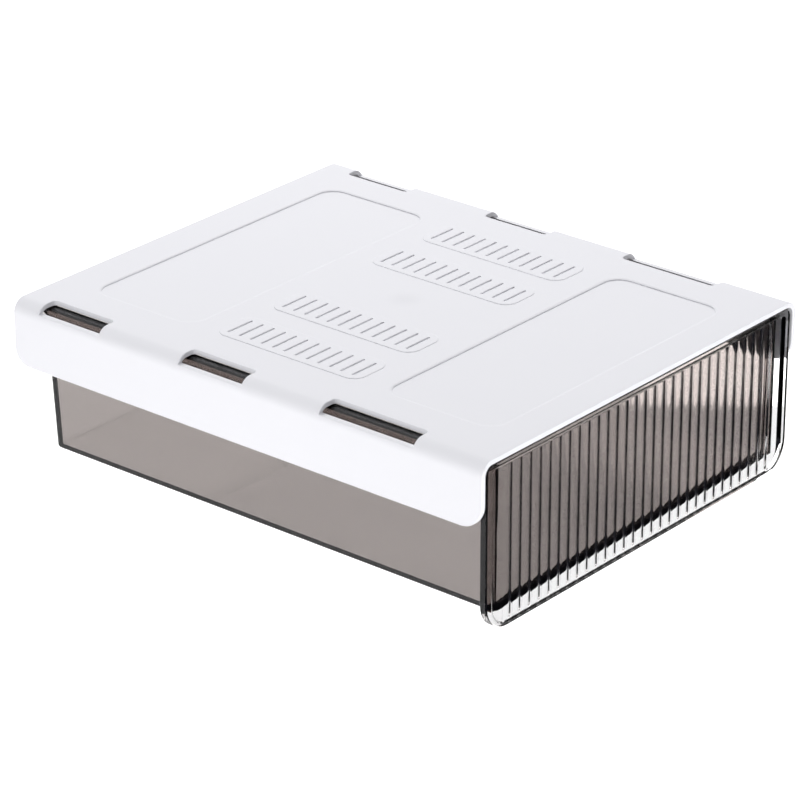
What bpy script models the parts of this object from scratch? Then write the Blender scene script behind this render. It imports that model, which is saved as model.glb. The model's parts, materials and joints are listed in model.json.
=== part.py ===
"""Under desk drawer: a white cover that is fastened under a desk top, and a smoky tray with a
fluted clear front panel that slides out of it.

Metres, +Z up. The origin is the centre of the cover's flat top face, the face that meets the
desk. The front panel faces -Y, the drawer slides out along -Y, and X runs across the width.
"""
import math

import bmesh
import bpy

# ---- cover ---------------------------------------------------------------------------------
COVER_WIDTH = 0.270
COVER_LENGTH = 0.323
COVER_DEPTH = 0.0373
COVER_WALL = 0.0029
COVER_EDGE_RADIUS = 0.008        # long top edges, outside
COVER_INNER_X = COVER_WIDTH / 2 - COVER_WALL
FLANGE_FRONT_RADIUS = 0.014      # lower corners of the side flanges
FLANGE_REAR_RADIUS = 0.010

# two shallow beds for the mounting tape
BED_WIDTH = 0.198
BED_LENGTH = 0.073
BED_DEPTH = 0.0009
BED_CORNER_RADIUS = 0.011
BED_CENTRES_Y = (0.101, -0.1035)

# four raised pads between the beds, each crossed by a row of slits
PAD_WIDTH = 0.0284
PAD_LENGTH = 0.099
PAD_HEIGHT = 0.0004
PAD_CORNER_RADIUS = 0.008
PAD_CENTRES_X = (-0.0844, -0.0409, 0.0409, 0.0844)
SLITS_PER_PAD = 12
SLIT_PITCH = 0.00782
SLIT_LENGTH = 0.0191
SLIT_WIDTH = 0.0012

# openings along both long edges, one above each ledge: centre along Y, and length;
# the last is the front one
EDGE_SLOTS = ((0.1215, 0.044), (0.0203, 0.044), (-0.0856, 0.062))
SLOT_INNER_X = 0.1209
SLOT_FLOOR_Z = -0.0045
SLOT_CORNER_RADIUS = 0.0025

# ledges that carry the tray's rim
LEDGE_TOP_Z = -0.0086
LEDGE_THICKNESS = 0.002
LEDGE_REACH = 0.005

# blocks under the front ledges that stop the opening drawer, TRAVEL from its closed place
TRAVEL = 0.200
OPEN_STOP_REACH = 0.0097
OPEN_STOP_DEPTH = 0.004
OPEN_STOP_LENGTH = 0.004
OPEN_STOP_FRONT_Y = EDGE_SLOTS[-1][0] - EDGE_SLOTS[-1][1] / 2
OPEN_STOP_REAR_Y = OPEN_STOP_FRONT_Y + OPEN_STOP_LENGTH

# ribs that the front panel closes against
CLOSE_STOP_REACH = 0.0031
CLOSE_STOP_THICKNESS = 0.002
CLOSE_STOP_TOP_Z = -0.012
CLOSE_STOP_BOTTOM_Z = -0.028

# ---- front panel ---------------------------------------------------------------------------
PANEL_WIDTH = 0.2612
PANEL_TOP_Z = -0.0032
PANEL_BOTTOM_Z = -0.0971
PANEL_FRONT_Y = -0.1613
PANEL_DEPTH = 0.0042
PANEL_TOP_RADIUS = 0.005
PANEL_BOTTOM_RADIUS = 0.017
PANEL_REAR_Y = PANEL_FRONT_Y + PANEL_DEPTH

# the raised frame around the fluted field: its width at the sides, top and bottom, the share
# of that width taken by its round outer edge, and where it begins to slope in to the field
FRAME_SIDE = 0.0073
FRAME_TOP = 0.0046
FRAME_BOTTOM = 0.002
FRAME_ROUND = 0.14
FRAME_CREST = 0.54
FRAME_TOP_RADIUS = 0.0015
FRAME_BOTTOM_RADIUS = 0.011
EDGE_ROUND_DEPTH = 0.001
FIELD_DEPTH = 0.0015
FRAME_SEGMENTS = 3

FLUTE_COUNT = 29
FLUTE_PITCH = 0.008
FLUTE_DEPTH = 0.0009
FLUTE_FLATNESS = 3               # power of the hollow's curve: flat middle, steep ends
RIDGE_FLAT = 0.00025             # between one hollow and the next
FLUTE_TOP_Z = -0.0082
FLUTE_BOTTOM_Z = -0.0951
FLUTE_SEGMENTS = 6

# ---- tray ----------------------------------------------------------------------------------
TRAY_WALL = 0.0022
TRAY_FLOOR = 0.0022
TRAY_BOTTOM_Z = -0.0895
TRAY_TOP_Z = -0.0036
TRAY_BOTTOM_HALF_WIDTH = 0.119
TRAY_TOP_HALF_WIDTH = 0.122
TRAY_BOTTOM_FRONT_Y = -0.1566
TRAY_TOP_FRONT_Y = -0.1568
TRAY_BOTTOM_REAR_Y = 0.1492
TRAY_TOP_REAR_Y = 0.1522
TRAY_CORNER_RADIUS = 0.003       # all four tray corners, outside and inside
TRAY_BOTTOM_RADIUS = 0.0015      # outer edge between floor and walls
TRAY_INNER_SIDE_RADIUS = 0.001   # fillets inside, along the sides and rear, and along the front
TRAY_INNER_FRONT_RADIUS = 0.005

# thick front corners that the panel is fixed to
POST_INNER_X = 0.1166
POST_OUTER_X = 0.1224
POST_REAR_Y = -0.1505
POST_CORNER_RADIUS = 0.0012
POST_SETBACK = 0.0001            # behind the tray's front face

RIM_STEP = 0.0036                # from the bead down to the rim's outer part
RIM_THICKNESS = 0.001
RIM_BOTTOM_Z = TRAY_TOP_Z - RIM_STEP - RIM_THICKNESS
RIM_HALF_WIDTH = 0.1316
RIM_REAR_Y = 0.1555
RIM_CORNER_RADIUS = 0.012
BEAD_HALF_WIDTH = 0.126
BEAD_FRONT_SETBACK = 0.0004
BEAD_REAR_SETBACK = 0.001
BEAD_RADIUS = 0.0018             # outer top edge of the bead
LUG_LENGTH = 0.004
LUG_INNER_X = 0.121
LUG_OUTER_X = 0.1266
LUG_DROP = 0.004

CORNER_SEGMENTS = 6
FILLET_SEGMENTS = 3
CLEARANCE = 0.0003               # between pieces that rest against each other
OVERLAP = 0.0006                 # how far joined shapes reach into each other
ABOVE = 0.003                    # how far cutters reach above the top face
SKIN = 0.00002                   # keeps the ridges' flats off the field's own face


# ---- tools ---------------------------------------------------------------------------------
def make_object(name, mesh_builder, colour=None):
    """An object from a function that fills an empty bmesh."""
    mesh = bpy.data.meshes.new(name)
    bm = bmesh.new()
    mesh_builder(bm)
    bmesh.ops.recalc_face_normals(bm, faces=bm.faces)
    bm.to_mesh(mesh)
    bm.free()
    obj = bpy.data.objects.new(name, mesh)
    bpy.context.scene.collection.objects.link(obj)
    if colour is not None:
        mesh.materials.append(colour)
    return obj


def plastic(name, colour, roughness, transmission=0.0):
    material = bpy.data.materials.new(name)
    material.use_nodes = True
    shader = material.node_tree.nodes["Principled BSDF"]
    shader.inputs["Base Color"].default_value = (*colour, 1.0)
    shader.inputs["Roughness"].default_value = roughness
    shader.inputs["Metallic"].default_value = 0.0
    shader.inputs["Transmission Weight"].default_value = transmission
    return material


def arc(centre_u, centre_v, radius, start_degrees, end_degrees, segments=CORNER_SEGMENTS):
    """Points along an arc in a plane, both ends included."""
    points = []
    for step in range(segments + 1):
        angle = math.radians(start_degrees + (end_degrees - start_degrees) * step / segments)
        points.append((centre_u + radius * math.cos(angle), centre_v + radius * math.sin(angle)))
    return points


def rounded_outline(low_u, high_u, low_v, high_v, low_radius, high_radius=None):
    """A rectangle with round corners, counter-clockwise; the two radii are for its low-v and
    high-v corners."""
    if high_radius is None:
        high_radius = low_radius
    return (arc(high_u - low_radius, low_v + low_radius, low_radius, -90, 0)
            + arc(high_u - high_radius, high_v - high_radius, high_radius, 0, 90)
            + arc(low_u + high_radius, high_v - high_radius, high_radius, 90, 180)
            + arc(low_u + low_radius, low_v + low_radius, low_radius, 180, 270))


def loft(loops):
    """A closed solid through equally long loops of 3-D points, capped at both ends."""
    def build(bm):
        rings = [[bm.verts.new(point) for point in loop] for loop in loops]
        for lower, upper in zip(rings, rings[1:]):
            for index in range(len(lower)):
                following = (index + 1) % len(lower)
                bm.faces.new((lower[index], lower[following], upper[following], upper[index]))
        bm.faces.new(rings[0])
        bm.faces.new(rings[-1])
    return build


def prism_z(outline, low_z, high_z):
    return loft([[(x, y, z) for x, y in outline] for z in (low_z, high_z)])


def prism_y(outline, low_y, high_y):
    return loft([[(x, y, z) for x, z in outline] for y in (low_y, high_y)])


def prism_x(outline, low_x, high_x):
    return loft([[(x, y, z) for y, z in outline] for x in (low_x, high_x)])


def box(low, high):
    outline = [(low[0], low[1]), (high[0], low[1]), (high[0], high[1]), (low[0], high[1])]
    return prism_z(outline, low[2], high[2])


def several(builders):
    """Shapes that don't touch each other, as one mesh."""
    def build(bm):
        for builder in builders:
            builder(bm)
    return build


def combine(target, name, builder, operation):
    """Adds a Boolean with a hidden tool object."""
    tool = make_object(name, builder)
    tool.hide_render = True
    tool.display_type = "WIRE"
    modifier = target.modifiers.new(name, "BOOLEAN")
    modifier.operation = operation
    modifier.solver = "EXACT"
    modifier.object = tool


# ---- cover ---------------------------------------------------------------------------------
def cover_profile():
    """The cover's cross-section across X: a flat top with a flange down each side."""
    half = COVER_WIDTH / 2
    outer = COVER_EDGE_RADIUS
    inner = COVER_EDGE_RADIUS - COVER_WALL
    right = ([(half, -COVER_DEPTH)]
             + arc(half - outer, -outer, outer, 0, 90))
    left = [(-x, z) for x, z in reversed(right)]
    inside_left = ([(-half + COVER_WALL, -COVER_DEPTH)]
                   + [(-x, z) for x, z in arc(half - outer, -outer, inner, 0, 90)])
    inside_right = [(-x, z) for x, z in reversed(inside_left)]
    return right + left + inside_left + inside_right


def flange_outline():
    """Side view of the cover, Y along and Z up: square on top, round lower corners."""
    half = COVER_LENGTH / 2
    front = FLANGE_FRONT_RADIUS
    rear = FLANGE_REAR_RADIUS
    return (arc(half - rear, -COVER_DEPTH + rear, rear, -90, 0)
            + [(half, ABOVE), (-half, ABOVE)]
            + arc(-half + front, -COVER_DEPTH + front, front, 180, 270))


def box_on_both_sides(low, high):
    """A box on the +X side, and its mirror image on the -X side."""
    return [box(low, high),
            box((-high[0], low[1], low[2]), (-low[0], high[1], high[2]))]


def ledges():
    """What carries the tray's rim, with the ribs that the panel closes against."""
    close_stop_y = PANEL_REAR_Y + CLEARANCE
    shapes = []
    for centre_y, length in EDGE_SLOTS:
        shapes += box_on_both_sides(
            (COVER_INNER_X - LEDGE_REACH, centre_y - length / 2, LEDGE_TOP_Z - LEDGE_THICKNESS),
            (COVER_INNER_X + OVERLAP, centre_y + length / 2, LEDGE_TOP_Z))
    shapes += box_on_both_sides(
        (COVER_INNER_X - CLOSE_STOP_REACH, close_stop_y, CLOSE_STOP_BOTTOM_Z),
        (COVER_INNER_X + OVERLAP, close_stop_y + CLOSE_STOP_THICKNESS, CLOSE_STOP_TOP_Z))
    return shapes


def open_stops():
    return box_on_both_sides(
        (COVER_INNER_X - OPEN_STOP_REACH, OPEN_STOP_FRONT_Y, LEDGE_TOP_Z - OPEN_STOP_DEPTH),
        (COVER_INNER_X + OVERLAP, OPEN_STOP_REAR_Y, LEDGE_TOP_Z))


def pad_slits():
    shapes = []
    for centre_x in PAD_CENTRES_X:
        for index in range(SLITS_PER_PAD):
            y = (index - (SLITS_PER_PAD - 1) / 2) * SLIT_PITCH
            shapes.append(box(
                (centre_x - SLIT_LENGTH / 2, y - SLIT_WIDTH / 2, -COVER_WALL - ABOVE),
                (centre_x + SLIT_LENGTH / 2, y + SLIT_WIDTH / 2, ABOVE)))
    return shapes


def edge_slots():
    """Openings over the rounded long edges, with round inner corners."""
    shapes = []
    for centre_y, length in EDGE_SLOTS:
        outline = rounded_outline(
            SLOT_INNER_X, COVER_WIDTH / 2 + SLOT_CORNER_RADIUS * 2,
            centre_y - length / 2, centre_y + length / 2, SLOT_CORNER_RADIUS)
        shapes += [prism_z([(side * x, y) for x, y in outline], SLOT_FLOOR_Z, ABOVE)
                   for side in (-1, 1)]
    return shapes


def tape_beds():
    shapes = []
    for centre_y in BED_CENTRES_Y:
        outline = rounded_outline(-BED_WIDTH / 2, BED_WIDTH / 2, centre_y - BED_LENGTH / 2,
                                  centre_y + BED_LENGTH / 2, BED_CORNER_RADIUS)
        shapes.append(prism_z(outline, -BED_DEPTH, ABOVE))
    return shapes


def raised_pads():
    shapes = []
    for centre_x in PAD_CENTRES_X:
        outline = rounded_outline(centre_x - PAD_WIDTH / 2, centre_x + PAD_WIDTH / 2,
                                  -PAD_LENGTH / 2, PAD_LENGTH / 2, PAD_CORNER_RADIUS)
        shapes.append(prism_z(outline, -OVERLAP, PAD_HEIGHT))
    return shapes


def make_cover():
    white = plastic("white_plastic", (0.86, 0.86, 0.89), 0.42)
    half = COVER_LENGTH / 2
    cover = make_object("cover", prism_y(cover_profile(), -half, half), white)
    combine(cover, "flange_corners",
            prism_x(flange_outline(), -COVER_WIDTH, COVER_WIDTH), "INTERSECT")
    combine(cover, "ledges", several(ledges()), "UNION")
    combine(cover, "open_stops", several(open_stops()), "UNION")
    combine(cover, "tape_beds", several(tape_beds()), "DIFFERENCE")
    combine(cover, "raised_pads", several(raised_pads()), "UNION")
    combine(cover, "pad_slits", several(pad_slits()), "DIFFERENCE")
    combine(cover, "edge_slots", several(edge_slots()), "DIFFERENCE")
    return cover


# ---- front panel ---------------------------------------------------------------------------
def panel_loop(y, across):
    """The panel's outline at a depth; across runs from 0 at its edge to 1 inside its frame."""
    half = PANEL_WIDTH / 2 - FRAME_SIDE * across
    low_radius = PANEL_BOTTOM_RADIUS + (FRAME_BOTTOM_RADIUS - PANEL_BOTTOM_RADIUS) * across
    high_radius = PANEL_TOP_RADIUS + (FRAME_TOP_RADIUS - PANEL_TOP_RADIUS) * across
    outline = rounded_outline(-half, half, PANEL_BOTTOM_Z + FRAME_BOTTOM * across,
                              PANEL_TOP_Z - FRAME_TOP * across, low_radius, high_radius)
    return [(x, y, z) for x, z in outline]


def panel_blank():
    """The panel before its flutes: a frame with a round front edge, sloping in to the field."""
    loops = [panel_loop(PANEL_REAR_Y, 0.0)]
    for step in range(FRAME_SEGMENTS + 1):
        angle = math.radians(90 * step / FRAME_SEGMENTS)
        loops.append(panel_loop(PANEL_FRONT_Y + EDGE_ROUND_DEPTH * (1 - math.sin(angle)),
                                FRAME_ROUND * (1 - math.cos(angle))))
    for step in range(FRAME_SEGMENTS + 1):
        part = step / FRAME_SEGMENTS
        fall = FIELD_DEPTH * (1 - math.cos(math.pi * part)) / 2
        loops.append(panel_loop(PANEL_FRONT_Y + fall, FRAME_CREST + (1 - FRAME_CREST) * part))
    return loft(loops)


def flute_cutter():
    """What is cut away in front of the flutes: hollows that meet in narrow flat ridges."""
    left_x = -FLUTE_COUNT * FLUTE_PITCH / 2
    crest_y = PANEL_FRONT_Y + FIELD_DEPTH - SKIN
    hollow = FLUTE_PITCH - RIDGE_FLAT
    points = [(left_x, crest_y - OVERLAP)]
    for flute in range(FLUTE_COUNT):
        start_x = left_x + flute * FLUTE_PITCH + RIDGE_FLAT / 2
        for step in range(FLUTE_SEGMENTS + 1):
            across = step / FLUTE_SEGMENTS
            sag = FLUTE_DEPTH * (1 - abs(2 * across - 1) ** FLUTE_FLATNESS)
            points.append((start_x + across * hollow, crest_y + sag))
    points.append((-left_x, crest_y - OVERLAP))
    return prism_z(points, FLUTE_BOTTOM_Z, FLUTE_TOP_Z)


def make_front_panel():
    clear = plastic("clear_smoke", (0.55, 0.53, 0.50), 0.08, 0.9)
    panel = make_object("front_panel", panel_blank(), clear)
    combine(panel, "flutes", flute_cutter(), "DIFFERENCE")
    return panel


# ---- tray ----------------------------------------------------------------------------------
def tray_loop(z, inset, front_inset):
    """The tray's outline at a height, drawn in at the sides and rear, and at the front."""
    rise = (z - TRAY_BOTTOM_Z) / (TRAY_TOP_Z - TRAY_BOTTOM_Z)
    half = TRAY_BOTTOM_HALF_WIDTH + (TRAY_TOP_HALF_WIDTH - TRAY_BOTTOM_HALF_WIDTH) * rise - inset
    front = TRAY_BOTTOM_FRONT_Y + (TRAY_TOP_FRONT_Y - TRAY_BOTTOM_FRONT_Y) * rise + front_inset
    rear = TRAY_BOTTOM_REAR_Y + (TRAY_TOP_REAR_Y - TRAY_BOTTOM_REAR_Y) * rise - inset
    return [(x, y, z) for x, y in rounded_outline(-half, half, front, rear, TRAY_CORNER_RADIUS)]


def rim_loop(z, half_width, front_setback, rear_setback):
    outline = rounded_outline(-half_width, half_width, TRAY_TOP_FRONT_Y + front_setback,
                              RIM_REAR_Y - rear_setback, RIM_CORNER_RADIUS - rear_setback)
    return [(x, y, z) for x, y in outline]


def fillet_inset(height, radius):
    """How far a fillet stands out from the wall at a height above the floor."""
    if height >= radius:
        return 0.0
    return radius - math.sqrt(radius ** 2 - (radius - height) ** 2)


def outer_loops():
    """Loops of the outside, from the floor's underside up round the bottom edge."""
    loops = []
    for step in range(FILLET_SEGMENTS + 1):
        height = TRAY_BOTTOM_RADIUS * (1 - math.cos(math.radians(90 * step / FILLET_SEGMENTS)))
        inset = fillet_inset(height, TRAY_BOTTOM_RADIUS)
        loops.append(tray_loop(TRAY_BOTTOM_Z + height, inset, inset))
    return loops


def inner_loops():
    """Loops of the inside, from the floor up, with a wider fillet along the front."""
    side = TRAY_INNER_SIDE_RADIUS
    front = TRAY_INNER_FRONT_RADIUS
    heights = [side * step / FILLET_SEGMENTS for step in range(FILLET_SEGMENTS)]
    heights += [side + (front - side) * step / FILLET_SEGMENTS
                for step in range(FILLET_SEGMENTS + 1)]
    return [tray_loop(TRAY_BOTTOM_Z + TRAY_FLOOR + height, TRAY_WALL + fillet_inset(height, side),
                      TRAY_WALL + fillet_inset(height, front)) for height in heights]


def corner_posts():
    front_y = TRAY_BOTTOM_FRONT_Y + POST_SETBACK
    posts = []
    for low_x, high_x in ((POST_INNER_X, POST_OUTER_X), (-POST_OUTER_X, -POST_INNER_X)):
        outline = rounded_outline(low_x, high_x, front_y, POST_REAR_Y, POST_CORNER_RADIUS)
        posts.append(prism_z(outline, TRAY_BOTTOM_Z + TRAY_BOTTOM_RADIUS, RIM_BOTTOM_Z + OVERLAP))
    return posts


def make_tray():
    smoke = plastic("smoky_plastic", (0.30, 0.27, 0.25), 0.12, 0.8)
    loops = outer_loops()
    loops.append(tray_loop(RIM_BOTTOM_Z, 0.0, 0.0))
    loops.append(rim_loop(RIM_BOTTOM_Z, RIM_HALF_WIDTH, 0.0, 0.0))
    loops.append(rim_loop(TRAY_TOP_Z - RIM_STEP, RIM_HALF_WIDTH, 0.0, 0.0))
    loops.append(rim_loop(TRAY_TOP_Z - RIM_STEP, BEAD_HALF_WIDTH,
                          BEAD_FRONT_SETBACK, BEAD_REAR_SETBACK))
    for out, up in arc(-BEAD_RADIUS, -BEAD_RADIUS, BEAD_RADIUS, 0, 90, FILLET_SEGMENTS):
        loops.append(rim_loop(TRAY_TOP_Z + up, BEAD_HALF_WIDTH + out,
                              BEAD_FRONT_SETBACK, BEAD_REAR_SETBACK - out))
    loops.append(tray_loop(TRAY_TOP_Z, TRAY_WALL, TRAY_WALL))
    loops += reversed(inner_loops())
    tray = make_object("tray", loft(loops), smoke)
    lug_y = OPEN_STOP_REAR_Y + TRAVEL + CLEARANCE
    lugs = box_on_both_sides((LUG_INNER_X, lug_y, RIM_BOTTOM_Z - LUG_DROP),
                             (LUG_OUTER_X, lug_y + LUG_LENGTH, RIM_BOTTOM_Z + OVERLAP))
    combine(tray, "stop_lugs", several(lugs), "UNION")
    combine(tray, "corner_posts", several(corner_posts()), "UNION")
    return tray


def main():
    for obj in list(bpy.data.objects):
        bpy.data.objects.remove(obj, do_unlink=True)
    make_cover()
    make_front_panel()
    make_tray()


main()
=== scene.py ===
"""Looks of the under desk drawer: a satin white cover, a smoky clear tray and a fluted clear
front panel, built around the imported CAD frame.

Metres, +Z up. The origin is the centre of the cover's flat top face. The front panel faces -Y,
the drawer slides out along -Y, and X runs across the width.
"""

import json
import math

import bmesh
import bpy
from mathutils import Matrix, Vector


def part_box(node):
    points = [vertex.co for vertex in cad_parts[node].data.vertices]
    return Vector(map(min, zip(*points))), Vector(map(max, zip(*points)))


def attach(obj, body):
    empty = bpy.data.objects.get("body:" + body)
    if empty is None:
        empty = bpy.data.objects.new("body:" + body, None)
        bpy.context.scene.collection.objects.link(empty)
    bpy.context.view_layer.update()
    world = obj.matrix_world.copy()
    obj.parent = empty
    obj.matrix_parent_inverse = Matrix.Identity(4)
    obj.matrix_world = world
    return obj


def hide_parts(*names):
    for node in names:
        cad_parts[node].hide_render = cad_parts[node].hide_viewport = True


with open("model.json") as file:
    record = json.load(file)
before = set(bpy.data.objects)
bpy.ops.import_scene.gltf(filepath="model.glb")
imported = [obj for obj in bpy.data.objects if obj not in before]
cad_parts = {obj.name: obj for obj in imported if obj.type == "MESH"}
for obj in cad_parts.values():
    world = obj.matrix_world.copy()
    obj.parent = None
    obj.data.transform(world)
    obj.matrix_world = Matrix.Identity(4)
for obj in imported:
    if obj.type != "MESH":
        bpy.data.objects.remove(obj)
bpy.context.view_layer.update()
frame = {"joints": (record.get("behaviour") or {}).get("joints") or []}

COVER_LOW, COVER_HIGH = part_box("cover")
PANEL_LOW, PANEL_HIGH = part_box("front_panel")
TRAY_LOW, TRAY_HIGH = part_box("tray")

# Lengths below are in metres, angles in degrees, light in watts and noise in cycles per metre.
# The camera's lens and sensor are in millimetres.

# ---- cover ---------------------------------------------------------------------------------
COVER_HALF_WIDTH = COVER_HIGH.x
COVER_HALF_LENGTH = COVER_HIGH.y
COVER_BOTTOM_Z = COVER_LOW.z
COVER_WALL = 0.0029
COVER_EDGE_RADIUS = 0.008
COVER_EDGE_SEGMENTS = 16
COVER_INNER_X = COVER_HALF_WIDTH - COVER_WALL
FLANGE_FRONT_RADIUS = 0.014
FLANGE_REAR_RADIUS = 0.010

BED_WIDTH = 0.198
BED_LENGTH = 0.073
BED_DEPTH = 0.0009
BED_CORNER_RADIUS = 0.011
BED_FLOOR_INSET = 0.0006
BED_FOOT_INSET = 0.0004
BED_FOOT_HEIGHT = 0.0001
BED_BRIM = 0.0012
BED_BRIM_RADIUS = 0.004
BED_EDGE_RADIUS = 0.0004
BRIM_TURN = 24
BRIM_STEEPEST = 80
BRIM_WIDE_STEPS = 8
BRIM_TIGHT_STEPS = 4
BED_CENTRES_Y = (0.101, -0.1035)

PAD_WIDTH = 0.0284
PAD_LENGTH = 0.099
PAD_HEIGHT = COVER_HIGH.z
PAD_CORNER_RADIUS = 0.008
PAD_BRIM_RADIUS = 0.0016
PAD_EDGE_RADIUS = 0.00015
PAD_CENTRES_X = (-0.0844, -0.0409, 0.0409, 0.0844)
SLITS_PER_PAD = 12
SLIT_PITCH = 0.00782
SLIT_LENGTH = 0.0191
SLIT_WIDTH = 0.0012
SLIT_EDGE_WIDTH = 0.0003
SLIT_EDGE_DEPTH = 0.0003
SLIT_EDGE_STEP = 0.0001
SLIT_END_ROUNDNESS = 0.95
SLIT_END_SEGMENTS = 4

# Where each opening is centred along Y, and how long it is.
EDGE_SLOTS = ((0.1215, 0.044), (0.0203, 0.044), (-0.0856, 0.062))
SLOT_INNER_X = 0.1209
SLOT_FLOOR_Z = -0.0045
SLOT_CORNER_RADIUS = 0.0025

LEDGE_TOP_Z = -0.0086
LEDGE_THICKNESS = 0.002
LEDGE_REACH = 0.005
OPEN_STOP_REACH = 0.0097
OPEN_STOP_DEPTH = 0.004
OPEN_STOP_LENGTH = 0.004
OPEN_STOP_FRONT_Y = EDGE_SLOTS[-1][0] - EDGE_SLOTS[-1][1] / 2
OPEN_STOP_REAR_Y = OPEN_STOP_FRONT_Y + OPEN_STOP_LENGTH
CLOSE_STOP_REACH = 0.0031
CLOSE_STOP_THICKNESS = 0.002
CLOSE_STOP_TOP_Z = -0.012
CLOSE_STOP_BOTTOM_Z = -0.028
COVER_BEVEL = 0.00045
CLOSED_GAP = 0.0003

# ---- front panel ---------------------------------------------------------------------------
PANEL_HALF_WIDTH = PANEL_HIGH.x
PANEL_TOP_Z = PANEL_HIGH.z
PANEL_BOTTOM_Z = PANEL_LOW.z
PANEL_FRONT_Y = PANEL_LOW.y
PANEL_REAR_Y = PANEL_HIGH.y
PANEL_TOP_RADIUS = 0.005
PANEL_BOTTOM_RADIUS = 0.017
PANEL_REAR_EDGE = 0.0003
FRAME_SIDE = 0.0073
FRAME_TOP = 0.0046
FRAME_BOTTOM = 0.002
# Shares of the frame's width: where its round edge ends, and where its slope inward starts.
FRAME_ROUND = 0.14
FRAME_CREST = 0.54
FRAME_TOP_RADIUS = 0.0015
FRAME_BOTTOM_RADIUS = 0.011
FIELD_DEPTH = 0.0015
EDGE_ROUND_DEPTH = 0.001
FRAME_STEPS = 8
FLUTE_COUNT = 29
FLUTE_PITCH = 0.008
FLUTE_DEPTH = 0.0009
FLUTE_FLATNESS = 3
FLUTE_TOP_Z = -0.0082
FLUTE_BOTTOM_Z = -0.0951
FLUTE_SEGMENTS = 12
RIDGE_FLAT = 0.00025

# ---- tray ----------------------------------------------------------------------------------
TRAY_WALL = 0.0022
TRAY_FLOOR = 0.0022
TRAY_BOTTOM_Z = TRAY_LOW.z
TRAY_TOP_Z = TRAY_HIGH.z
TRAY_BOTTOM_HALF_WIDTH = 0.119
TRAY_TOP_HALF_WIDTH = 0.122
TRAY_BOTTOM_FRONT_Y = -0.1566
TRAY_TOP_FRONT_Y = TRAY_LOW.y
TRAY_BOTTOM_REAR_Y = 0.1492
TRAY_TOP_REAR_Y = 0.1522
TRAY_CORNER_RADIUS = 0.003
TRAY_INNER_CORNER_RADIUS = 0.003
POST_INNER_X = 0.1166
POST_OUTER_X = 0.1224
POST_REAR_Y = -0.1505
POST_SETBACK = 0.0001
POST_CORNER_RADIUS = 0.0012
POST_CORNER_SEGMENTS = 5
TRAY_BOTTOM_RADIUS = 0.0015
TRAY_BOTTOM_STEPS = 6
TRAY_INNER_SIDE_RADIUS = 0.001
TRAY_INNER_FRONT_RADIUS = 0.005
TRAY_INNER_STEPS = 4
TRAY_BEVEL = 0.00025
RIM_STEP = 0.0036
RIM_THICKNESS = 0.001
RIM_BOTTOM_Z = TRAY_TOP_Z - RIM_STEP - RIM_THICKNESS
RIM_HALF_WIDTH = TRAY_HIGH.x
RIM_REAR_Y = TRAY_HIGH.y
RIM_CORNER_RADIUS = 0.012
BEAD_HALF_WIDTH = 0.126
BEAD_FRONT_SETBACK = 0.0004
BEAD_REAR_SETBACK = 0.001
BEAD_RADIUS = 0.0018
BEAD_SEGMENTS = 6
OPEN_GAP = 0.0003
LUG_Y = OPEN_STOP_REAR_Y + frame["joints"][0]["range_m"][1] + OPEN_GAP
LUG_LENGTH = 0.004
LUG_INNER_X = 0.121
LUG_OUTER_X = 0.1266
LUG_DROP = 0.004

# ---- shared --------------------------------------------------------------------------------
CORNER_SEGMENTS = 12
BEVEL_SEGMENTS = 3
BEVEL_ANGLE = 50
SMOOTH_ANGLE = 32
NORMAL_WEIGHT = 80
AXIS_SQUARE = 0.99999
OVERLAP = 0.0006    # how far an added or cutting shape reaches past the face it meets
ABOVE = 0.003       # how far a shape that cuts right through stands out of the cover
SKIN = 0.00002      # keeps the flute cutter's edge off the plane of the field

# ---- materials -----------------------------------------------------------------------------
COVER_IOR = 1.5
COVER_WHITE = (0.83, 0.83, 0.86)
COVER_ROUGHNESS = (0.36, 0.46)
COVER_CLOUD_SCALE = 16.0
COVER_CLOUD_RANGE = (0.3, 0.7)
COVER_GRAIN_SCALE = 2600.0
COVER_GRAIN_STRENGTH = 0.10
GATE_MARK_GREY = (0.76, 0.76, 0.79)
GATE_MARK_WEIGHT = 0.5
GATE_MARK_RADII = (0.002, 0.011)
BUMP_DISTANCE = 0.0002

# ---- stage ---------------------------------------------------------------------------------
CAMERA_AZIMUTH = -50.22
CAMERA_ELEVATION = 24.57
CAMERA_DISTANCE = 2.0912
CAMERA_TARGET = Vector((-0.0513, -0.0394, -0.030))
CAMERA_LENS = 179.0
CAMERA_SENSOR = 36.0
CAMERA_REACH = 50.0
FLOOR_Z = -0.30
FLOOR_HALF_SIZE = 6.0
FLOOR_GLOW = 0.12
FLOOR_GLOW_SEEN = 0.5
FLOOR_WHITE = (0.92, 0.92, 0.92)
FLOOR_TRAPPED = (0.012, 0.012, 0.016)
FLOOR_ROUGHNESS = 0.8
WHITE = (1.0, 1.0, 1.0)
BLACK = (0.0, 0.0, 0.0)
ROOM_WHITE = (0.92, 0.92, 0.95)
ROOM_LIGHT = (0.50, 0.50, 0.51)
# What trapped light meets: dark up to the first height it points to, bright past the second.
CEILING_GREY = (0.0135, 0.81)
CEILING_RISE = (0.2, 0.5)
FRONT_CARD_LOW = (-1.5, -2.0)
FRONT_CARD_HIGH = (2.5, -0.19)
FRONT_CARD_LIFT = 0.02
FRONT_CARD_GREY = 0.01
# Name, azimuth, elevation, distance, size, power.
AREA_LIGHTS = (("side_light", -88.0, -6.0, 1.1, 0.25, 3.6),
               ("front_light", -5.0, -6.0, 1.1, 0.25, 4.5),
               ("rear_light", 135.0, 48.0, 3.0, 1.4, 58.0))
BACKDROP_DISTANCE = 0.55
BACKDROP_BOTTOM_Z = -0.285
BACKDROP_SHIFT = 0.73
BACKDROP_WIDTH = 1.5
BACKDROP_HEIGHT = 1.2
BACKDROP_POWER = 11.0


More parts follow.
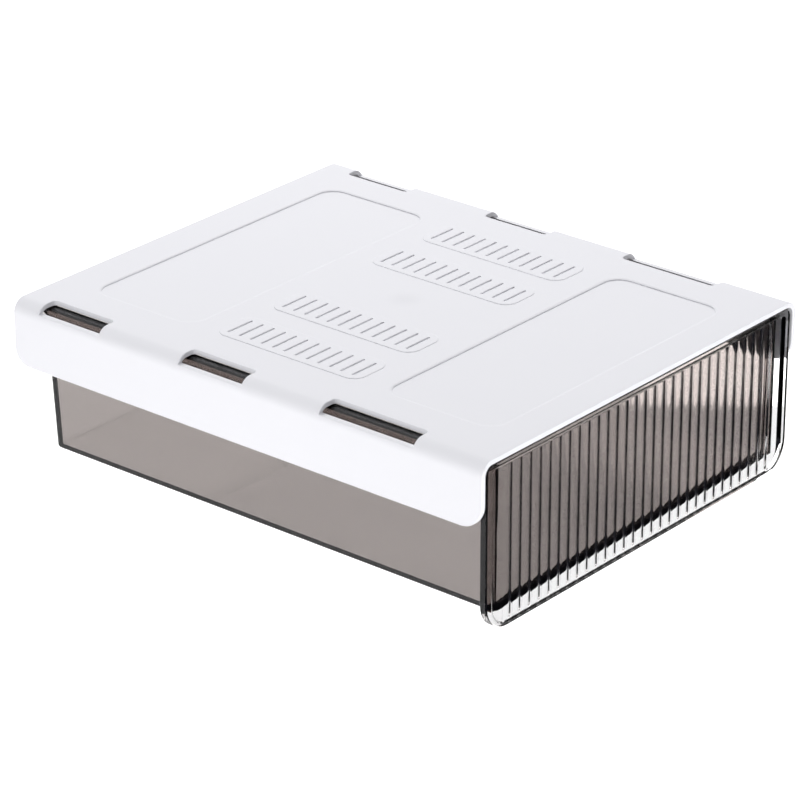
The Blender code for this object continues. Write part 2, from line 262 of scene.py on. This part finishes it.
# ---- mesh tools ----------------------------------------------------------------------------
def make_object(name, mesh_builder):
    """An object from a function that fills an empty bmesh."""
    mesh = bpy.data.meshes.new(name)
    bm = bmesh.new()
    mesh_builder(bm)
    bmesh.ops.recalc_face_normals(bm, faces=bm.faces)
    bm.to_mesh(mesh)
    bm.free()
    obj = bpy.data.objects.new(name, mesh)
    bpy.context.scene.collection.objects.link(obj)
    return obj


def arc(centre_u, centre_v, radius, start_degrees, end_degrees, segments=CORNER_SEGMENTS):
    """Points along an arc in a plane, both ends included."""
    points = []
    for step in range(segments + 1):
        angle = math.radians(start_degrees + (end_degrees - start_degrees) * step / segments)
        points.append((centre_u + radius * math.cos(angle), centre_v + radius * math.sin(angle)))
    return points


def rounded_outline(low_u, high_u, low_v, high_v, low_radius, high_radius=None,
                    segments=CORNER_SEGMENTS):
    """A rectangle with round corners, counter-clockwise."""
    if high_radius is None:
        high_radius = low_radius
    return (arc(high_u - low_radius, low_v + low_radius, low_radius, -90, 0, segments)
            + arc(high_u - high_radius, high_v - high_radius, high_radius, 0, 90, segments)
            + arc(low_u + high_radius, high_v - high_radius, high_radius, 90, 180, segments)
            + arc(low_u + low_radius, low_v + low_radius, low_radius, 180, 270, segments))


def loft(loops):
    """A closed solid through equally long loops of 3-D points, capped at both ends."""
    def build(bm):
        rings = [[bm.verts.new(point) for point in loop] for loop in loops]
        for lower, upper in zip(rings, rings[1:]):
            for index in range(len(lower)):
                following = (index + 1) % len(lower)
                bm.faces.new((lower[index], lower[following], upper[following], upper[index]))
        bm.faces.new(rings[0])
        bm.faces.new(rings[-1])
    return build


def prism_z(outline, low_z, high_z):
    """An outline in X and Y, raised along Z."""
    return loft([[(x, y, z) for x, y in outline] for z in (low_z, high_z)])


def prism_y(outline, low_y, high_y):
    """An outline in X and Z, stretched along Y."""
    return loft([[(x, y, z) for x, z in outline] for y in (low_y, high_y)])


def prism_x(outline, low_x, high_x):
    """An outline in Y and Z, stretched along X."""
    return loft([[(x, y, z) for y, z in outline] for x in (low_x, high_x)])


def box(low, high):
    """A box between its lowest and highest corners."""
    outline = [(low[0], low[1]), (high[0], low[1]), (high[0], high[1]), (low[0], high[1])]
    return prism_z(outline, low[2], high[2])


def box_on_both_sides(low, high):
    """A box on the +X side, and its mirror image on the -X side."""
    return [box(low, high),
            box((-high[0], low[1], low[2]), (-low[0], high[1], high[2]))]


def several(builders):
    """Shapes that don't touch each other, as one mesh."""
    def build(bm):
        for builder in builders:
            builder(bm)
    return build


def settle(obj):
    """Applies an object's modifiers to its mesh and removes the tool objects they used."""
    tools = [m.object for m in obj.modifiers if m.type == "BOOLEAN"]
    graph = bpy.context.evaluated_depsgraph_get()
    graph.update()
    mesh = bpy.data.meshes.new_from_object(obj.evaluated_get(graph), depsgraph=graph)
    obj.modifiers.clear()
    obj.data = mesh
    mesh.name = obj.name
    for tool in tools:
        bpy.data.objects.remove(tool, do_unlink=True)


def combine(target, builder, operation):
    """Adds, cuts or intersects a shape, once the target is settled."""
    tool = make_object("tool", builder)
    modifier = target.modifiers.new(operation, "BOOLEAN")
    modifier.operation = operation
    modifier.solver = "EXACT"
    modifier.object = tool


def soften(obj, width):
    """Rounds every sharp edge, once the object is settled."""
    bevel = obj.modifiers.new("bevel", "BEVEL")
    bevel.width = width
    bevel.segments = BEVEL_SEGMENTS
    bevel.limit_method = "ANGLE"
    bevel.angle_limit = math.radians(BEVEL_ANGLE)
    bevel.use_clamp_overlap = False
    bevel.miter_outer = "MITER_ARC"


def shade(obj):
    """Smooth shading that stops at sharp edges, weighted by face area."""
    obj.data.shade_smooth()
    obj.data.set_sharp_from_angle(angle=math.radians(SMOOTH_ANGLE))
    normals = obj.modifiers.new("normals", "WEIGHTED_NORMAL")
    normals.mode = "FACE_AREA"
    normals.weight = NORMAL_WEIGHT
    normals.keep_sharp = True


def keep_flat_faces_flat(obj):
    """Gives faces that are square to an axis their own normal, so large flats stay even."""
    for face in obj.data.polygons:
        if max(abs(part) for part in face.normal) > AXIS_SQUARE:
            face.use_smooth = False


def paint(obj, material):
    """Gives an object one material in place of any it has."""
    obj.data.materials.clear()
    obj.data.materials.append(material)


# ---- cover ---------------------------------------------------------------------------------
def cover_profile():
    """The cover's cross-section across X: a flat top with a flange down each side."""
    half = COVER_HALF_WIDTH
    outer = COVER_EDGE_RADIUS
    inner = COVER_EDGE_RADIUS - COVER_WALL
    right = ([(half, COVER_BOTTOM_Z)]
             + arc(half - outer, -outer, outer, 0, 90, COVER_EDGE_SEGMENTS))
    left = [(-x, z) for x, z in reversed(right)]
    inside_curve = arc(half - outer, -outer, inner, 0, 90, COVER_EDGE_SEGMENTS)
    inside_left = [(-half + COVER_WALL, COVER_BOTTOM_Z)] + [(-x, z) for x, z in inside_curve]
    inside_right = [(-x, z) for x, z in reversed(inside_left)]
    return right + left + inside_left + inside_right


def flange_outline():
    """Side view of the cover, Y along and Z up: square on top, round lower corners."""
    half = COVER_HALF_LENGTH
    front = FLANGE_FRONT_RADIUS
    rear = FLANGE_REAR_RADIUS
    return (arc(half - rear, COVER_BOTTOM_Z + rear, rear, -90, 0)
            + [(half, ABOVE), (-half, ABOVE)]
            + arc(-half + front, COVER_BOTTOM_Z + front, front, 180, 270))


def ledges():
    """What carries the tray's rim, with the ribs that the panel closes against."""
    close_stop_y = PANEL_REAR_Y + CLOSED_GAP
    shapes = []
    for centre_y, length in EDGE_SLOTS:
        shapes += box_on_both_sides(
            (COVER_INNER_X - LEDGE_REACH, centre_y - length / 2, LEDGE_TOP_Z - LEDGE_THICKNESS),
            (COVER_INNER_X + OVERLAP, centre_y + length / 2, LEDGE_TOP_Z))
    shapes += box_on_both_sides(
        (COVER_INNER_X - CLOSE_STOP_REACH, close_stop_y, CLOSE_STOP_BOTTOM_Z),
        (COVER_INNER_X + OVERLAP, close_stop_y + CLOSE_STOP_THICKNESS, CLOSE_STOP_TOP_Z))
    return shapes


def open_stops():
    """Blocks that the tray's lugs meet when the drawer is fully open."""
    return box_on_both_sides(
        (COVER_INNER_X - OPEN_STOP_REACH, OPEN_STOP_FRONT_Y, LEDGE_TOP_Z - OPEN_STOP_DEPTH),
        (COVER_INNER_X + OVERLAP, OPEN_STOP_REAR_Y, LEDGE_TOP_Z))


def edge_slots():
    """Openings over the rounded long edges, with round inner corners."""
    shapes = []
    for centre_y, length in EDGE_SLOTS:
        outline = rounded_outline(
            SLOT_INNER_X, COVER_HALF_WIDTH + SLOT_CORNER_RADIUS * 2,
            centre_y - length / 2, centre_y + length / 2, SLOT_CORNER_RADIUS)
        shapes += [prism_z([(side * x, y) for x, y in outline], SLOT_FLOOR_Z, ABOVE)
                   for side in (-1, 1)]
    return shapes


def soft_brim(wide_radius, tight_radius, start):
    """Height and outward offset from a steep side up a tight bend, then a wide one, to a flat."""
    turn = math.radians(BRIM_TURN)
    points = []
    for step in range(BRIM_WIDE_STEPS + 1):
        tilt = math.radians(BRIM_TURN * step / BRIM_WIDE_STEPS)
        points.append((wide_radius * (math.cos(tilt) - 1), start - wide_radius * math.sin(tilt)))
    turn_z, turn_offset = points[-1]
    for step in range(1, BRIM_TIGHT_STEPS + 1):
        tilt = math.radians(BRIM_TURN + (BRIM_STEEPEST - BRIM_TURN) * step / BRIM_TIGHT_STEPS)
        points.append((turn_z + tight_radius * (math.cos(tilt) - math.cos(turn)),
                       turn_offset - tight_radius * (math.sin(tilt) - math.sin(turn))))
    return points[::-1]


def tape_beds():
    """Shallow rounded recesses with a soft lower corner and a soft brim."""
    shapes = []
    for centre_y in BED_CENTRES_Y:
        loops = []
        profile = [(-BED_DEPTH, -BED_FLOOR_INSET),
                   (-BED_DEPTH + BED_FOOT_HEIGHT, -BED_FOOT_INSET)]
        profile += soft_brim(BED_BRIM_RADIUS, BED_EDGE_RADIUS, BED_BRIM)
        profile.append((ABOVE, BED_BRIM))
        for z, grow in profile:
            outline = rounded_outline(
                -BED_WIDTH / 2 - grow, BED_WIDTH / 2 + grow, centre_y - BED_LENGTH / 2 - grow,
                centre_y + BED_LENGTH / 2 + grow, BED_CORNER_RADIUS + grow)
            loops.append([(x, y, z) for x, y in outline])
        shapes.append(loft(loops))
    return shapes


def raised_pads():
    """Low pads whose edge rises in a soft slope."""
    shapes = []
    for centre_x in PAD_CENTRES_X:
        loops = []
        brim = soft_brim(PAD_BRIM_RADIUS, PAD_EDGE_RADIUS, 0.0)
        flat_inset = -brim[0][1]
        profile = [(-OVERLAP, 0.0), (0.0, 0.0)]
        profile += [(PAD_HEIGHT + fall, flat_inset + offset) for fall, offset in brim]
        for z, inset in profile:
            outline = rounded_outline(
                centre_x - PAD_WIDTH / 2 + inset, centre_x + PAD_WIDTH / 2 - inset,
                -PAD_LENGTH / 2 + inset, PAD_LENGTH / 2 - inset, PAD_CORNER_RADIUS - inset)
            loops.append([(x, y, z) for x, y in outline])
        shapes.append(loft(loops))
    return shapes


def pad_slits():
    """Vents through the pads, each with round ends and a softened brim."""
    profile = ((-COVER_WALL - ABOVE, 0.0), (PAD_HEIGHT - SLIT_EDGE_DEPTH, 0.0),
               (PAD_HEIGHT - SLIT_EDGE_STEP, SLIT_EDGE_STEP), (PAD_HEIGHT, SLIT_EDGE_WIDTH),
               (ABOVE, SLIT_EDGE_WIDTH))
    shapes = []
    for centre_x in PAD_CENTRES_X:
        for index in range(SLITS_PER_PAD):
            y = (index - (SLITS_PER_PAD - 1) / 2) * SLIT_PITCH
            loops = []
            for z, grow in profile:
                half_length = SLIT_LENGTH / 2 + grow
                half_width = SLIT_WIDTH / 2 + grow
                outline = rounded_outline(
                    centre_x - half_length, centre_x + half_length, y - half_width, y + half_width,
                    half_width * SLIT_END_ROUNDNESS, segments=SLIT_END_SEGMENTS)
                loops.append([(x, v, z) for x, v in outline])
            shapes.append(loft(loops))
    return shapes


def make_cover():
    """The white cover, bevelled first so that its beds, pads and slits keep their own brims."""
    half = COVER_HALF_LENGTH
    cover = make_object("cover_shell", prism_y(cover_profile(), -half, half))
    combine(cover, prism_x(flange_outline(), -COVER_HALF_WIDTH * 2, COVER_HALF_WIDTH * 2),
            "INTERSECT")
    combine(cover, several(ledges()), "UNION")
    combine(cover, several(open_stops()), "UNION")
    combine(cover, several(edge_slots()), "DIFFERENCE")
    soften(cover, COVER_BEVEL)
    settle(cover)
    combine(cover, several(tape_beds()), "DIFFERENCE")
    combine(cover, several(raised_pads()), "UNION")
    combine(cover, several(pad_slits()), "DIFFERENCE")
    settle(cover)
    shade(cover)
    keep_flat_faces_flat(cover)
    paint(cover, white_plastic())
    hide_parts("cover")
    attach(cover, "cover")


# ---- front panel ---------------------------------------------------------------------------
def panel_loop(y, across):
    """The panel's outline at a depth; across runs from 0 at its edge to 1 inside its frame."""
    half = PANEL_HALF_WIDTH - FRAME_SIDE * across
    low_radius = PANEL_BOTTOM_RADIUS + (FRAME_BOTTOM_RADIUS - PANEL_BOTTOM_RADIUS) * across
    high_radius = PANEL_TOP_RADIUS + (FRAME_TOP_RADIUS - PANEL_TOP_RADIUS) * across
    outline = rounded_outline(-half, half, PANEL_BOTTOM_Z + FRAME_BOTTOM * across,
                              PANEL_TOP_Z - FRAME_TOP * across, low_radius, high_radius)
    return [(x, y, z) for x, z in outline]


def panel_blank():
    """The panel before its flutes: a frame with a round front edge, sloping in to the field."""
    loops = [panel_loop(PANEL_REAR_Y, PANEL_REAR_EDGE / FRAME_SIDE),
             panel_loop(PANEL_REAR_Y - PANEL_REAR_EDGE, 0.0)]
    for step in range(FRAME_STEPS + 1):
        angle = math.radians(90 * step / FRAME_STEPS)
        loops.append(panel_loop(PANEL_FRONT_Y + EDGE_ROUND_DEPTH * (1 - math.sin(angle)),
                                FRAME_ROUND * (1 - math.cos(angle))))
    for step in range(FRAME_STEPS + 1):
        part = step / FRAME_STEPS
        fall = FIELD_DEPTH * (1 - math.cos(math.pi * part)) / 2
        loops.append(panel_loop(PANEL_FRONT_Y + fall, FRAME_CREST + (1 - FRAME_CREST) * part))
    return loft(loops)


def flute_cutter():
    """What is cut away in front of the flutes: hollows that meet in narrow flat ridges."""
    left_x = -FLUTE_COUNT * FLUTE_PITCH / 2
    crest_y = PANEL_FRONT_Y + FIELD_DEPTH
    hollow = FLUTE_PITCH - RIDGE_FLAT
    points = [(left_x, crest_y - OVERLAP)]
    for flute in range(FLUTE_COUNT):
        start_x = left_x + flute * FLUTE_PITCH + RIDGE_FLAT / 2
        for step in range(FLUTE_SEGMENTS + 1):
            across = step / FLUTE_SEGMENTS
            sag = FLUTE_DEPTH * (1 - abs(2 * across - 1) ** FLUTE_FLATNESS)
            points.append((start_x + across * hollow, crest_y + sag - SKIN))
    points.append((-left_x, crest_y - OVERLAP))
    return prism_z(points, FLUTE_BOTTOM_Z, FLUTE_TOP_Z)


def make_front_panel():
    """The fluted panel, which moves with the tray."""
    panel = make_object("fluted_panel", panel_blank())
    combine(panel, flute_cutter(), "DIFFERENCE")
    settle(panel)
    paint(panel, clear_plastic())
    shade(panel)
    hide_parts("front_panel")
    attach(panel, "drawer")


# ---- tray ----------------------------------------------------------------------------------
def tray_loop(z, inset, front_inset, radius):
    """The tray's outline at a height, drawn in at the sides and rear, and at the front."""
    rise = (z - TRAY_BOTTOM_Z) / (TRAY_TOP_Z - TRAY_BOTTOM_Z)
    half = TRAY_BOTTOM_HALF_WIDTH + (TRAY_TOP_HALF_WIDTH - TRAY_BOTTOM_HALF_WIDTH) * rise - inset
    front = TRAY_BOTTOM_FRONT_Y + (TRAY_TOP_FRONT_Y - TRAY_BOTTOM_FRONT_Y) * rise + front_inset
    rear = TRAY_BOTTOM_REAR_Y + (TRAY_TOP_REAR_Y - TRAY_BOTTOM_REAR_Y) * rise - inset
    return [(x, y, z) for x, y in rounded_outline(-half, half, front, rear, radius)]


def rim_loop(z, half_width, front_setback, rear_setback):
    """An outline of the rim or its bead at a height."""
    outline = rounded_outline(-half_width, half_width, TRAY_TOP_FRONT_Y + front_setback,
                              RIM_REAR_Y - rear_setback, RIM_CORNER_RADIUS - rear_setback)
    return [(x, y, z) for x, y in outline]


def fillet_inset(height, radius):
    """How far a fillet stands out from the wall at a height above the floor."""
    if height >= radius:
        return 0.0
    return radius - math.sqrt(radius ** 2 - (radius - height) ** 2)


def outer_loops():
    """Loops of the outside, from the floor's underside up round the bottom edge."""
    loops = []
    for step in range(TRAY_BOTTOM_STEPS + 1):
        angle = math.radians(90 * step / TRAY_BOTTOM_STEPS)
        height = TRAY_BOTTOM_RADIUS * (1 - math.cos(angle))
        inset = fillet_inset(height, TRAY_BOTTOM_RADIUS)
        loops.append(tray_loop(TRAY_BOTTOM_Z + height, inset, inset, TRAY_CORNER_RADIUS))
    return loops


def inner_loops():
    """Loops of the inside, from the floor up, with a wider fillet along the front."""
    loops = []
    steps = TRAY_INNER_STEPS
    side_height = TRAY_INNER_SIDE_RADIUS
    rest_height = TRAY_INNER_FRONT_RADIUS - side_height
    heights = [side_height * step / steps for step in range(steps)]
    heights += [side_height + rest_height * step / steps for step in range(steps + 1)]
    for height in heights:
        side = TRAY_WALL + fillet_inset(height, TRAY_INNER_SIDE_RADIUS)
        front = TRAY_WALL + fillet_inset(height, TRAY_INNER_FRONT_RADIUS)
        loops.append(tray_loop(TRAY_BOTTOM_Z + TRAY_FLOOR + height, side, front,
                               TRAY_INNER_CORNER_RADIUS))
    return loops


def corner_posts():
    """The thick front corners that the panel is fixed to."""
    front_y = TRAY_BOTTOM_FRONT_Y + POST_SETBACK
    posts = []
    for low_x, high_x in ((POST_INNER_X, POST_OUTER_X), (-POST_OUTER_X, -POST_INNER_X)):
        outline = rounded_outline(low_x, high_x, front_y, POST_REAR_Y, POST_CORNER_RADIUS,
                                  segments=POST_CORNER_SEGMENTS)
        posts.append(prism_z(outline, TRAY_BOTTOM_Z + TRAY_BOTTOM_RADIUS, RIM_BOTTOM_Z + OVERLAP))
    return posts


def make_tray():
    """The smoky tray: up the outside, over the rim and its bead, and down the inside."""
    loops = outer_loops()
    loops.append(tray_loop(RIM_BOTTOM_Z, 0.0, 0.0, TRAY_CORNER_RADIUS))
    loops.append(rim_loop(RIM_BOTTOM_Z, RIM_HALF_WIDTH, 0.0, 0.0))
    loops.append(rim_loop(TRAY_TOP_Z - RIM_STEP, RIM_HALF_WIDTH, 0.0, 0.0))
    loops.append(rim_loop(TRAY_TOP_Z - RIM_STEP, BEAD_HALF_WIDTH,
                          BEAD_FRONT_SETBACK, BEAD_REAR_SETBACK))
    for out, up in arc(-BEAD_RADIUS, -BEAD_RADIUS, BEAD_RADIUS, 0, 90, BEAD_SEGMENTS):
        loops.append(rim_loop(TRAY_TOP_Z + up, BEAD_HALF_WIDTH + out,
                              BEAD_FRONT_SETBACK, BEAD_REAR_SETBACK - out))
    loops.append(tray_loop(TRAY_TOP_Z, TRAY_WALL, TRAY_WALL, TRAY_INNER_CORNER_RADIUS))
    loops += reversed(inner_loops())
    tray = make_object("smoky_tray", loft(loops))
    lugs = box_on_both_sides((LUG_INNER_X, LUG_Y, RIM_BOTTOM_Z - LUG_DROP),
                             (LUG_OUTER_X, LUG_Y + LUG_LENGTH, RIM_BOTTOM_Z + OVERLAP))
    combine(tray, several(lugs), "UNION")
    combine(tray, several(corner_posts()), "UNION")
    soften(tray, TRAY_BEVEL)
    settle(tray)
    paint(tray, smoky_plastic())
    shade(tray)
    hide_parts("tray")
    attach(tray, "drawer")


# ---- materials -----------------------------------------------------------------------------
def new_material(name):
    """A material with its node tree and its main shader."""
    material = bpy.data.materials.new(name)
    material.use_nodes = True
    return material, material.node_tree, material.node_tree.nodes["Principled BSDF"]


def noise(tree, scale, detail):
    """3-D noise in the piece's own coordinates."""
    coordinates = tree.nodes.new("ShaderNodeTexCoord")
    texture = tree.nodes.new("ShaderNodeTexNoise")
    texture.inputs["Scale"].default_value = scale
    texture.inputs["Detail"].default_value = detail
    tree.links.new(coordinates.outputs["Object"], texture.inputs["Vector"])
    return texture.outputs["Fac"]


def ranged(tree, value, low, high, from_low=0.0, from_high=1.0):
    """A value stretched from one range to another, and held at its ends."""
    mapping = tree.nodes.new("ShaderNodeMapRange")
    mapping.inputs["From Min"].default_value = from_low
    mapping.inputs["From Max"].default_value = from_high
    mapping.inputs["To Min"].default_value = low
    mapping.inputs["To Max"].default_value = high
    tree.links.new(value, mapping.inputs["Value"])
    return mapping.outputs["Result"]


def bump(tree, height, strength):
    """A normal tilted by a height."""
    node = tree.nodes.new("ShaderNodeBump")
    node.inputs["Distance"].default_value = BUMP_DISTANCE
    node.inputs["Strength"].default_value = strength
    tree.links.new(height, node.inputs["Height"])
    return node.outputs["Normal"]


def white_plastic():
    """Satin injection-moulded plastic with a faint grey gate mark at the centre of the top."""
    material, tree, shader = new_material("cover_white_plastic")
    shader.inputs["IOR"].default_value = COVER_IOR
    coordinates = tree.nodes.new("ShaderNodeTexCoord")
    distance = tree.nodes.new("ShaderNodeVectorMath")
    distance.operation = "LENGTH"
    tree.links.new(coordinates.outputs["Object"], distance.inputs[0])
    gate_mark = ranged(tree, distance.outputs["Value"], GATE_MARK_WEIGHT, 0.0, *GATE_MARK_RADII)
    tree.links.new(mixed(tree, gate_mark, COVER_WHITE, GATE_MARK_GREY),
                   shader.inputs["Base Color"])
    grain = noise(tree, COVER_GRAIN_SCALE, 2.0)
    cloud = noise(tree, COVER_CLOUD_SCALE, 3.0)
    tree.links.new(ranged(tree, cloud, *COVER_ROUGHNESS, *COVER_CLOUD_RANGE),
                   shader.inputs["Roughness"])
    tree.links.new(bump(tree, grain, COVER_GRAIN_STRENGTH), shader.inputs["Normal"])
    return material


def see_through_plastic(name, ior, tint, density, roughness, roughness_scale, wave_scale,
                        wave_strength):
    """Polished moulded plastic: tinted by its thickness, unevenly smooth and slightly wavy."""
    material, tree, shader = new_material(name)
    shader.inputs["Base Color"].default_value = (*WHITE, 1.0)
    shader.inputs["IOR"].default_value = ior
    shader.inputs["Transmission Weight"].default_value = 1.0
    wave = noise(tree, wave_scale, 2.0)
    tree.links.new(ranged(tree, noise(tree, roughness_scale, 3.0), *roughness),
                   shader.inputs["Roughness"])
    tree.links.new(bump(tree, wave, wave_strength), shader.inputs["Normal"])
    absorption = tree.nodes.new("ShaderNodeVolumeAbsorption")
    absorption.inputs["Color"].default_value = (*tint, 1.0)
    absorption.inputs["Density"].default_value = density
    tree.links.new(absorption.outputs["Volume"], tree.nodes["Material Output"].inputs["Volume"])
    return material


def clear_plastic():
    """Nearly clear, for the front panel."""
    return see_through_plastic("panel_clear_plastic", ior=1.46, tint=(0.80, 0.76, 0.74),
                               density=30.0, roughness=(0.012, 0.035), roughness_scale=900.0,
                               wave_scale=70.0, wave_strength=0.12)


def smoky_plastic():
    """Smoky brown-grey, for the tray."""
    return see_through_plastic("tray_smoky_plastic", ior=1.52, tint=(0.43, 0.36, 0.33),
                               density=335.0, roughness=(0.02, 0.06), roughness_scale=700.0,
                               wave_scale=45.0, wave_strength=0.2)


def trapped_share(tree):
    """1 for trapped light, which was both reflected and let through a plastic; 0 for any other."""
    path = tree.nodes.new("ShaderNodeLightPath")
    node = tree.nodes.new("ShaderNodeMath")
    node.operation = "MULTIPLY"
    node.use_clamp = True
    tree.links.new(path.outputs["Glossy Depth"], node.inputs[0])
    tree.links.new(path.outputs["Transmission Depth"], node.inputs[1])
    return node.outputs[0]


def mixed(tree, share, low, high):
    """A blend of two colours, each given as a colour or as a socket."""
    mix = tree.nodes.new("ShaderNodeMixRGB")
    for name, value in (("Color1", low), ("Color2", high)):
        if isinstance(value, tuple):
            mix.inputs[name].default_value = (*value, 1.0)
        else:
            tree.links.new(value, mix.inputs[name])
    tree.links.new(share, mix.inputs["Fac"])
    return mix.outputs["Color"]


def floor_material():
    """White paper that glows a little; trapped light meets a dark floor instead."""
    material, tree, shader = new_material("floor_white")
    trapped = trapped_share(tree)
    tree.links.new(mixed(tree, trapped, FLOOR_WHITE, FLOOR_TRAPPED), shader.inputs["Base Color"])
    tree.links.new(mixed(tree, trapped, WHITE, BLACK), shader.inputs["Emission Color"])
    path = tree.nodes.new("ShaderNodeLightPath")
    tree.links.new(ranged(tree, path.outputs["Is Camera Ray"], FLOOR_GLOW, FLOOR_GLOW_SEEN),
                   shader.inputs["Emission Strength"])
    shader.inputs["Roughness"].default_value = FLOOR_ROUGHNESS
    shader.inputs["Specular IOR Level"].default_value = 0.0
    return material


# ---- stage ---------------------------------------------------------------------------------
def flat_sheet(name, low, high, z):
    """One level face between two corners."""
    corners = [(low[0], low[1], z), (high[0], low[1], z), (high[0], high[1], z),
               (low[0], high[1], z)]
    return make_object(name, lambda bm: bm.faces.new([bm.verts.new(c) for c in corners]))


def make_floor():
    """The white floor, well below the object."""
    size = FLOOR_HALF_SIZE
    floor = flat_sheet("floor", (-size, -size), (size, size), FLOOR_Z)
    paint(floor, floor_material())


def make_front_card():
    """A dark card over the front of the floor, which only reflections show."""
    card = flat_sheet("front_card", FRONT_CARD_LOW, FRONT_CARD_HIGH, FLOOR_Z + FRONT_CARD_LIFT)
    material, _, shader = new_material("front_card")
    grey = FRONT_CARD_GREY
    shader.inputs["Base Color"].default_value = (grey, grey, grey, 1.0)
    shader.inputs["Specular IOR Level"].default_value = 0.0
    paint(card, material)
    card.visible_camera = False
    card.visible_diffuse = False
    card.visible_transmission = False
    card.visible_shadow = False


def make_world():
    """An even white room, dimmer as a light. Trapped light meets a bright ceiling over dark."""
    world = bpy.data.worlds.new("studio")
    world.use_nodes = True
    tree = world.node_tree
    background = tree.nodes["Background"]
    coordinates = tree.nodes.new("ShaderNodeTexCoord")
    split = tree.nodes.new("ShaderNodeSeparateXYZ")
    tree.links.new(coordinates.outputs["Generated"], split.inputs[0])
    ceiling = ranged(tree, split.outputs["Z"], *CEILING_GREY, *CEILING_RISE)
    path = tree.nodes.new("ShaderNodeLightPath")
    room = mixed(tree, path.outputs["Is Diffuse Ray"], ROOM_WHITE, ROOM_LIGHT)
    tree.links.new(mixed(tree, trapped_share(tree), room, ceiling), background.inputs["Color"])
    background.inputs["Strength"].default_value = 1.0
    bpy.context.scene.world = world


def view_direction(azimuth, elevation):
    """Unit vector from the object towards a camera at these angles."""
    az, el = math.radians(azimuth), math.radians(elevation)
    return Vector((math.sin(az) * math.cos(el), -math.cos(az) * math.cos(el), math.sin(el)))


def area_light(name, azimuth, elevation, distance, size, power):
    """A square softbox aimed at the object, which shows in no reflection."""
    light = bpy.data.lights.new(name, "AREA")
    light.shape = "SQUARE"
    light.size = size
    light.energy = power
    obj = bpy.data.objects.new(name, light)
    bpy.context.scene.collection.objects.link(obj)
    direction = view_direction(azimuth, elevation)
    obj.location = direction * distance
    obj.rotation_euler = direction.to_track_quat("Z", "Y").to_euler()
    obj.visible_camera = False
    obj.visible_glossy = False
    obj.visible_transmission = False


def backdrop_light():
    """A soft panel behind the object, which only shows through the clear plastics."""
    towards_camera = view_direction(CAMERA_AZIMUTH, 0.0)
    light = bpy.data.lights.new("backdrop_light", "AREA")
    light.shape = "RECTANGLE"
    light.size = BACKDROP_WIDTH
    light.size_y = BACKDROP_HEIGHT
    light.energy = BACKDROP_POWER
    obj = bpy.data.objects.new("backdrop_light", light)
    bpy.context.scene.collection.objects.link(obj)
    rightwards = Vector((0.0, 0.0, 1.0)).cross(towards_camera)
    centre = CAMERA_TARGET - towards_camera * BACKDROP_DISTANCE + rightwards * BACKDROP_SHIFT
    obj.location = (centre.x, centre.y, BACKDROP_BOTTOM_Z + BACKDROP_HEIGHT / 2)
    obj.rotation_euler = (-towards_camera).to_track_quat("Z", "Y").to_euler()
    obj.visible_camera = False
    obj.visible_diffuse = False
    obj.visible_glossy = False


def make_camera():
    """A long lens at the photograph's viewing angle."""
    camera = bpy.data.objects.new("camera", bpy.data.cameras.new("camera"))
    bpy.context.scene.collection.objects.link(camera)
    direction = view_direction(CAMERA_AZIMUTH, CAMERA_ELEVATION)
    camera.location = CAMERA_TARGET + direction * CAMERA_DISTANCE
    camera.rotation_euler = direction.to_track_quat("Z", "Y").to_euler()
    camera.data.lens = CAMERA_LENS
    camera.data.sensor_width = CAMERA_SENSOR
    camera.data.clip_end = CAMERA_REACH
    bpy.context.scene.camera = camera


def main():
    """Builds the object, then the stage."""
    make_cover()
    make_front_panel()
    make_tray()
    make_floor()
    make_world()
    make_front_card()
    for light in AREA_LIGHTS:
        area_light(*light)
    backdrop_light()
    make_camera()
    bpy.context.scene.view_settings.view_transform = "Standard"


main()
